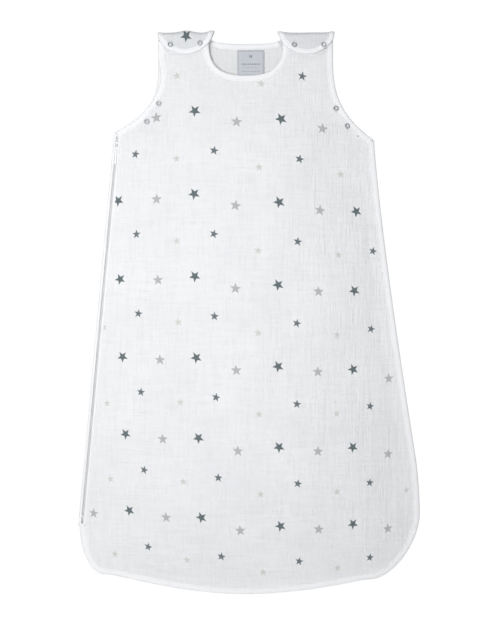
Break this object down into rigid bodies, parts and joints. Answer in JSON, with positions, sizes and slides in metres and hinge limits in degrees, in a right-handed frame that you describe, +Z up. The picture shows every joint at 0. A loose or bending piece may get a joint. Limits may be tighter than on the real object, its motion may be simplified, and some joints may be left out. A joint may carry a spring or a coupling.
{
  "type": "baby sleeping bag",
  "caption": "Sleeveless baby sleeping bag of layered muslin with bound edges, fold-over shoulder tabs on ring snaps, underarm snaps and a concealed side zip.",
  "frame": {"origin": "on the axis of the rail that the bag hangs over, midway between the shoulder straps", "axes": "+X towards the wearer's left, which is the viewer's right from the front; +Y from the front panel to the back panel; +Z up, along the hanging bag from the hem to the shoulders"},
  "size_m": [0.5417, 0.0334, 0.8939],
  "materials": {
    "printed_muslin": "crinkled white cotton muslin, printed with grey five-pointed stars in four sizes and tones",
    "lining_muslin": "plain white cotton muslin",
    "binding_tape": "folded white cotton tape with a stitched edge",
    "label": null,
    "snap_metal": "small nickel-plated ring snaps",
    "zip_metal": "white enamel on zinc",
    "zip_coil": "white nylon coil",
    "zip_tape": "white woven polyester tape"
  },
  "bodies": {
    "bag": {"front_outer": "printed_muslin", "front_middle": "lining_muslin", "front_lining": "lining_muslin", "back_outer": "printed_muslin", "back_middle": "lining_muslin", "back_lining": "lining_muslin", "front_neck_binding": "binding_tape", "back_neck_binding": "binding_tape", "front_left_armhole_binding": "binding_tape", "front_right_armhole_binding": "binding_tape", "back_left_armhole_binding": "binding_tape", "back_right_armhole_binding": "binding_tape", "side_hem_binding": "binding_tape", "seam_allowance": "lining_muslin", "left_shoulder_fold": "printed_muslin", "right_shoulder_fold": "printed_muslin", "shoulder_studs": "snap_metal", "shoulder_stud_backs": "snap_metal", "underarm_caps": "snap_metal", "underarm_sockets": "snap_metal", "underarm_studs": "snap_metal", "underarm_stud_backs": "snap_metal", "zip_band_front": "binding_tape", "zip_band_back": "binding_tape", "zip_facing": "lining_muslin", "zip_tapes": "zip_tape", "zip_teeth": "zip_coil", "zip_top_stop": "zip_metal", "zip_bottom_stop": "zip_metal", "neck_label": "label"},
    "left_tab": {"left_tab_outer": "printed_muslin", "left_tab_middle": "lining_muslin", "left_tab_lining": "lining_muslin", "left_tab_binding": "binding_tape", "left_shoulder_caps": "snap_metal", "left_shoulder_sockets": "snap_metal"},
    "right_tab": {"right_tab_outer": "printed_muslin", "right_tab_middle": "lining_muslin", "right_tab_lining": "lining_muslin", "right_tab_binding": "binding_tape", "right_shoulder_caps": "snap_metal", "right_shoulder_sockets": "snap_metal"},
    "slider": {"zip_slider": "zip_metal"},
    "pull": {"zip_pull": "zip_metal"}
  },
  "joints": [
    {"name": "left_tab_hinge", "type": "hinge", "parent": "bag", "child": "left_tab", "pos_m": [-0.097, -0.0086, 0], "axis": [-1, 0, 0], "range_deg": [0, 150]},
    {"name": "right_tab_hinge", "type": "hinge", "parent": "bag", "child": "right_tab", "pos_m": [0.097, -0.0086, 0], "axis": [-1, 0, 0], "range_deg": [0, 150]},
    {"name": "zip_slide", "type": "slide", "parent": "bag", "child": "slider", "axis": [-0.0909, 0, -0.9959], "range_m": [0, 0.56]},
    {"name": "pull_hinge", "type": "hinge", "parent": "slider", "child": "pull", "pos_m": [-0.20648, -0.0045, -0.17944], "axis": [-0.9959, 0, 0.0909], "range_deg": [0, 150]}
  ]
}
